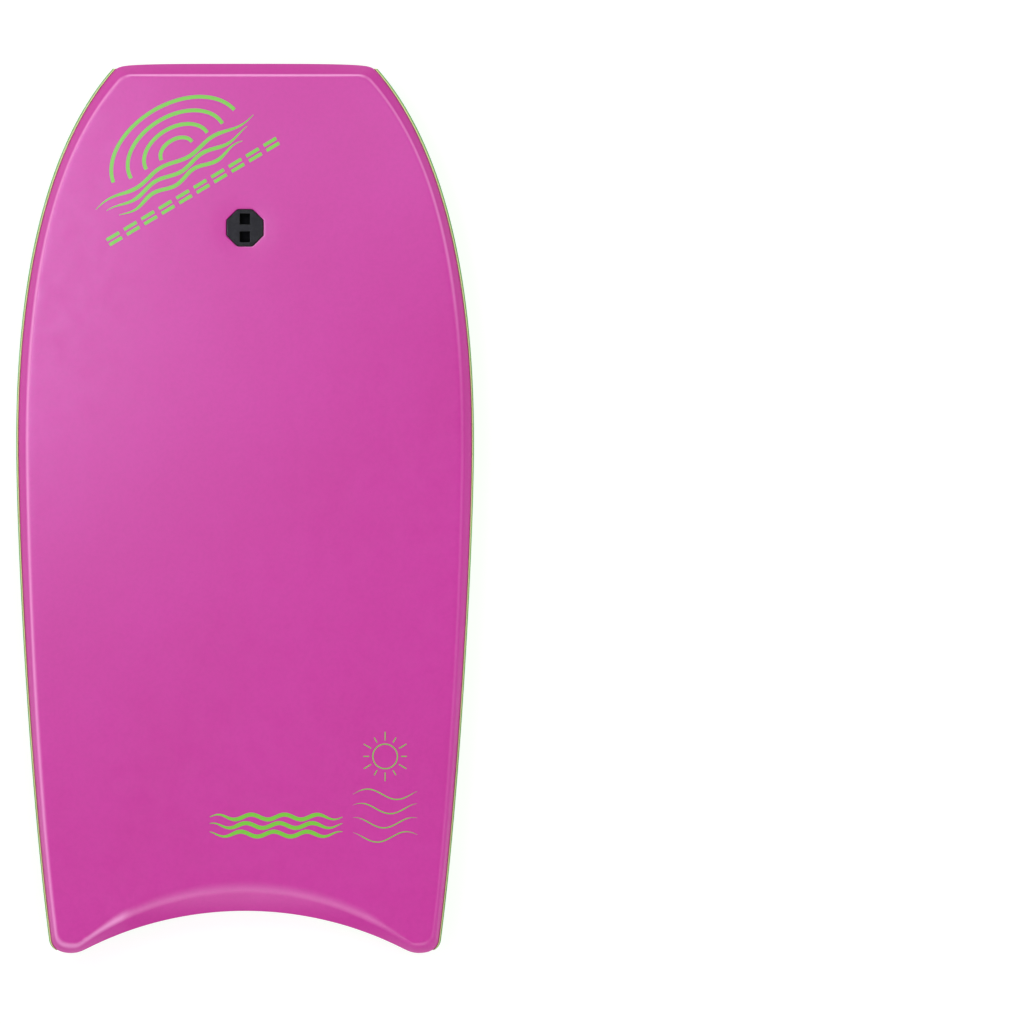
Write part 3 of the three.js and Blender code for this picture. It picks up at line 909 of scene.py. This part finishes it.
def turned_rows(skin, profile):
    """Rows for a profile of (radius, height). A radius of 0 is one point on the axis."""
    rows = []
    for r, z in profile:
        if r == 0:
            rows.append(np.repeat(skin.add([(0, PLUG_Y, z)]), PLUG_COUNT))
        else:
            rows.append(plug_row(skin, circle(r), z))
    return rows


def arc(cx, cz, r, a0, a1, steps):
    turns = [math.radians(a0 + (a1 - a0) * i / steps) for i in range(steps + 1)]
    return [(cx + r * math.cos(t), cz + r * math.sin(t)) for t in turns]


def cutter(name, sides):
    """A block between two copies of one outline. The faces that it cuts get the recess colour, darkened as
    painted shade.
    """
    skin = Skin()
    skin.slot = SHADED_RECESS_FACE
    near, far = [skin.add(points) for points in sides]
    skin.band(near, far)
    skin.face(near)
    skin.face(far[::-1])
    return skin.make(name, PLUG_SLOTS)


def tunnel_outline():
    """From the side: down one well, under the bar and up the other, with heights from the plug's face."""
    clear, end, r = TUNNEL["clear"], TUNNEL["half_length"], TUNNEL["round"]
    low = r - TUNNEL["depth"]
    bar, bar_r = BAR["half"], BAR["round"]
    under = bar_r - BAR["thick"]
    outline = [(-end, clear)] + arc(r - end, low, r, 180, 270, 8) + arc(end - r, low, r, 270, 360, 8)
    outline += [(end, clear), (bar, clear)] + arc(bar - bar_r, under, bar_r, 0, -90, 5)
    return outline + arc(bar_r - bar, under, bar_r, 270, 180, 5) + [(-bar, clear)]


def make_deck_half():
    """The octagonal flange on a round bowl and a threaded sleeve, with two wells and a bar between them."""
    z, low = FLANGE_Z, PLUG[0][2]
    flange = [(FLANGE["top"], z)]
    for k in range(1, 6):
        turn = math.pi / 2 * k / 5
        share = FLANGE["top"] + (1 - FLANGE["top"]) * math.sin(turn)
        flange.append((share, z - FLANGE["round"] * (1 - math.cos(turn))))
    flange += [(1.0, z - FLANGE_T + FLANGE["foot_round"]), (FLANGE["foot"], z - FLANGE_T)]
    floor_z, r = z - BOWL["depth"], BOWL["round"]
    radius, bore, chamfer = SLEEVE["radius"], SLEEVE["bore"], SLEEVE["chamfer"]
    body = [(BOWL["radius"], z - FLANGE_T)] + arc(BOWL["radius"] - r, floor_z + r, r, 0, -90, 8)
    body += [(radius, floor_z), (radius, low + chamfer), (radius - chamfer, low), (bore + chamfer, low)]
    body += [(bore, low + chamfer), (bore, SLEEVE["top_z"]), (0, SLEEVE["top_z"])]
    skin = Skin()
    rows = [plug_row(skin, octagon(FLANGE_ACROSS * share), height) for share, height in flange]
    rows += turned_rows(skin, body)
    skin.bands(rows)
    skin.face(rows[0][::-1])
    obj = skin.make("leash_plug_octagon", PLUG_SLOTS, angle=35)
    outline = tunnel_outline()
    half = TUNNEL["half_width"]
    cut(obj, cutter("tunnel", [[(x, PLUG_Y + y, z + h) for y, h in outline] for x in (half, -half)]))
    wear_edges(obj, width=0.35, segments=3)
    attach(obj, "plug_deck_half")
    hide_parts("leash_plug_deck_half")


def screw_profile():
    """The screw from the shank's top down to the middle of its dished cap."""
    z, r, top = CAP_Z, CAP_R, SCREW[1][2]
    dish, rim, edge, thick, top_round = CAP["dish"], CAP["rim"], CAP["edge"], CAP["thick"], CAP["top_round"]
    profile = [(0, top), (SHANK_R - 1, top), (SHANK_R, top - 1), (SHANK_R, z + thick)]
    profile += [(r - top_round, z + thick)]
    profile += arc(r - top_round, z + thick - top_round, top_round, 90, 0, 3)
    profile += arc(r - edge, z + edge, edge, 0, -90, 7)
    profile += arc(r - rim, z + 0.001, 0.001, 0, -90, 1)
    for k in range(1, 7):
        t = k / 6
        profile.append((r - rim - CAP["slope"] * t, z + dish * (3 * t * t - 2 * t**3)))
    inset, rise = CAP_FLOOR["inset"], CAP_FLOOR["rise"]
    return profile + [(r - rim - inset, z + dish + rise), (0, z + dish + 2 * rise)]


def coin_slot():
    """A cutter as a coin's rim would leave it: deepest in the middle."""
    reach, coin_r = COIN_SLOT["half_length"], COIN_SLOT["coin_r"]
    c, s = math.cos(COIN_SLOT_TURN), math.sin(COIN_SLOT_TURN)
    along, across = np.array([c, s]), np.array([-s, c])
    deepest = CAP["dish"] + COIN_SLOT["depth"]
    rim = [(coin_r * math.sin(a), deepest - coin_r * (1 - math.cos(a))) for a in np.linspace(-0.5, 0.5, 15)]
    outline = [(-reach, -COIN_SLOT["clear"])] + rim + [(reach, -COIN_SLOT["clear"])]
    sides = []
    for w in (COIN_SLOT["half_width"], -COIN_SLOT["half_width"]):
        sides.append([(*(along * d + across * w + [0, PLUG_Y]), CAP_Z + h) for d, h in outline])
    return cutter("slot", sides)


def make_thread():
    """The helical ridge on the shank, which fades in and out at its ends."""
    skin, rows = Skin(), []
    base, crest = SHANK_R - THREAD["sink"], THREAD["crest_r"]
    low, high = CAP_Z + CAP["thick"] + THREAD["foot"], SCREW[1][2] - THREAD["top"]
    half_base, half_crest, fade = THREAD_HALF["base"], THREAD_HALF["crest"], THREAD["fade"]
    steps = int((high - low) / THREAD["pitch"] * THREAD["steps"])
    for i in range(steps + 1):
        t = i / steps
        a = 2 * math.pi * i / THREAD["steps"]
        c, s, h = math.cos(a), math.sin(a), low + (high - low) * t
        out = base + (crest - base) * min(1, fade * t, fade * (1 - t))
        section = [(base, half_base), (out, half_crest), (out, -half_crest), (base, -half_base)]
        rows.append(skin.add([(r * c, r * s + PLUG_Y, h + up) for r, up in section]))
    skin.bands(rows)
    skin.face(rows[0])
    skin.face(rows[-1][::-1])
    return skin.make("leash_plug_thread", [PLUG_BLACK], angle=30)


def make_screw():
    skin = Skin()
    skin.bands(turned_rows(skin, screw_profile()))
    obj = skin.make("leash_plug_screw_cap", PLUG_SLOTS, angle=35)
    cut(obj, coin_slot())
    wear_edges(obj, width=0.25, segments=2)
    for part in (obj, make_thread()):
        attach(part, "plug_screw")
    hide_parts("leash_plug_screw")


# ---------------------------------------------------------------- the printed graphics
INK_Z = 0.14
INK_STEP = 2.0
EMBLEM_AT = (-86, 385)
EMBLEM_TURN = math.radians(31)
SUN_AT = (148, -262)


def resample(points, step):
    points = np.array(points, float)
    lengths = np.concatenate([[0], np.cumsum(np.linalg.norm(np.diff(points, axis=0), axis=1))])
    at = np.linspace(0, lengths[-1], max(3, int(lengths[-1] / step) + 1))
    return np.column_stack([np.interp(at, lengths, points[:, i]) for i in range(2)])


def ribbon(skin, points, width, taper):
    """A printed line on the deck, as a thin closed strip."""
    p = resample(points, INK_STEP)
    d = np.gradient(p, axis=0)
    side = np.column_stack([-d[:, 1], d[:, 0]]) / np.linalg.norm(d, axis=1)[:, None]
    t = np.linspace(0, 1, len(p))
    half = width / 2 * (np.minimum(1, 0.15 + 4 * np.minimum(t, 1 - t)) if taper else np.ones(len(p)))
    rows = []
    for edge, lift in ((1, 0.0), (1, INK_Z), (-1, INK_Z), (-1, 0.0)):
        q = p + side * (half * edge)[:, None]
        rows.append(skin.add(np.column_stack([q, deck_z(q[:, 0], q[:, 1]) + lift])))
    for i in range(4):
        skin.band(rows[i], rows[(i + 1) % 4], closed=False)
    skin.face([r[0] for r in rows])
    skin.face([r[-1] for r in rows])


def ellipse(centre, half_x, half_y, start=0.0, end=2 * math.pi, count=60):
    turns = [start + (end - start) * i / count for i in range(count + 1)]
    return [(centre[0] + half_x * math.cos(t), centre[1] + half_y * math.sin(t)) for t in turns]


def wave(x0, x1, y, height, half_waves, phase, count=90):
    shares = [i / count for i in range(count + 1)]
    return [(x0 + (x1 - x0) * t, y + height * math.sin(half_waves * math.pi * t + phase)) for t in shares]


def on_emblem(points):
    """Turns points of the emblem's own frame to its place on the deck."""
    c, s = math.cos(EMBLEM_TURN), math.sin(EMBLEM_TURN)
    return [(EMBLEM_AT[0] + (x * c - y * s), EMBLEM_AT[1] + (x * s + y * c)) for x, y in points]


def print_on(name, strokes):
    """Prints lines on the deck. A stroke is its points, its width and whether it tapers."""
    skin = Skin()
    for points, width, taper in strokes:
        ribbon(skin, points, width, taper)
    obj = skin.make(name, [INK], smooth_faces=False)
    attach(obj, "board")


def make_emblem():
    """A plain half sun in rings over ripples, with a row of double dashes under it."""
    line, dash_line = 4.0, 3.5
    strokes = []
    for r, short_by in ((15, 0.0), (30, 0.0), (45, 0.0), (60, 0.12)):
        half_ring = ellipse((8, -14), 1.25 * r, 0.82 * r, short_by, math.pi - short_by)
        strokes.append((on_emblem(half_ring), line, False))
    for k in range(3):
        ripple = wave(-97 + 9 * k, 97 - 12 * k, -23 - 9.5 * k, height=2.6, half_waves=6, phase=1.3 * k)
        strokes.append((on_emblem(ripple), line, True))
    for k in range(10):
        x0 = -104 + 21.5 * k
        for y in (-56.5, -62.5):
            strokes.append((on_emblem([(x0, y), (x0 + 15.5, y)]), dash_line, False))
    print_on("deck_print_sunrise", strokes)


def make_tail_print():
    """Three plain ripples and a small sun over a swell."""
    ripple_line, sun_line, ray_line, swell_line = 4.2, 1.1, 1.0, 1.1
    strokes = []
    for k in range(3):
        ripple = wave(-37, 103, -326 - 9 * k, height=2.6, half_waves=8, phase=k)
        strokes.append((ripple, ripple_line, True))
    strokes.append((ellipse(SUN_AT, 13, 13), sun_line, False))
    for k in range(12):
        a = math.pi * k / 6
        c, s = math.cos(a), math.sin(a)
        ray = [(SUN_AT[0] + r * c, SUN_AT[1] + r * s) for r in (17, 23 + 3 * (k % 2))]
        strokes.append((ray, ray_line, False))
    for k in range(4):
        swell = wave(114, 182, -302 - 15 * k, height=5.5, half_waves=2.2, phase=0.7 * k, count=60)
        strokes.append((swell, swell_line, True))
    print_on("deck_print_ripples", strokes)


# ---------------------------------------------------------------- build, stage, light, camera
make_deck_skin()
make_slick()
for side in (-1, 1):
    make_strip(side)
    make_weld(side)
make_deck_half()
make_screw()
make_emblem()
make_tail_print()

FLOOR_HALF = 25
FLOOR_Z = -0.0005
HAZE_TINT = (1, 0.98, 1.4)
corners = [(x, y, FLOOR_Z) for x, y in ((-1, -1), (1, -1), (1, 1), (-1, 1))]
ground = bpy.data.meshes.new("floor")
ground.from_pydata([(x * FLOOR_HALF, y * FLOOR_HALF, z) for x, y, z in corners], [], [(0, 1, 2, 3)])
ground.materials.append(lit_table("floor_pale"))
floor = bpy.data.objects.new("floor", ground)
bpy.context.scene.collection.objects.link(floor)


def area_light(name, where, size, power, only_shine=False, colour=(1, 1, 1)):
    """A soft box that faces the board. A shine-only box makes highlights and gives no other light."""
    data = bpy.data.lights.new(name, "AREA")
    data.shape, data.size, data.size_y = "RECTANGLE", size[0], size[1]
    data.energy, data.color = power, colour
    lamp = bpy.data.objects.new(name, data)
    lamp.location = where
    lamp.rotation_euler = (Vector((0, 0, 0)) - Vector(where)).to_track_quat("-Z", "Y").to_euler()
    lamp.visible_diffuse = not only_shine
    bpy.context.scene.collection.objects.link(lamp)


area_light("key", (-1.5, 1.3, 2.6), (1.4, 1.4), 26)
area_light("fill", (1.6, -1.2, 2.6), (1.4, 1.4), 8)
area_light("haze", (-0.5, 0.34, 1.6), (0.4, 0.6), 22, True, HAZE_TINT)
area_light("nose_haze", (0.2, 0.42, 0.7), (0.2, 0.2), 0.8, True, HAZE_TINT)
area_light("left_edge", (-2.4, 0.0, 1.75), (3.2, 1.8), 60, True)
area_light("nose_edge", (0.0, 3.0, 1.45), (2.6, 0.9), 28, True)
area_light("right_edge", (2.4, 0.0, 2.2), (3.2, 1.3), 40, True)
area_light("tail_edge", (0.0, -2.05, 2.6), (2.6, 0.5), 28, True)
area_light("tail_low", (0.0, -2.8, 2.2), (2.6, 1.6), 60, True)
world = bpy.data.worlds.new("studio")
world.use_nodes = True
background = world.node_tree.nodes["Background"].inputs
background["Color"].default_value = (1, 1, 1, 1)
background["Strength"].default_value = 0.78
bpy.context.scene.world = world
bpy.context.scene.view_settings.view_transform = "Standard"

# a very long lens straight above, with the shares of the picture that the board's length fills and that lie
# left of its middle and above it
BOARD_FILLS = 0.86875
BOARD_ACROSS = 0.2394
BOARD_DOWN = 0.4963
low, high = cad_bounds
middle = [(a + b) / 2 for a, b in zip(low, high)]
picture = (high[1] - low[1]) / BOARD_FILLS
camera = bpy.data.cameras.new("camera")
camera.lens = 800
camera.clip_end = 60
eye = bpy.data.objects.new("camera", camera)
eye.location = (middle[0] + (0.5 - BOARD_ACROSS) * picture, middle[1] - (0.5 - BOARD_DOWN) * picture,
                middle[2] + picture * camera.lens / camera.sensor_width)
bpy.context.scene.collection.objects.link(eye)
bpy.context.scene.camera = eye
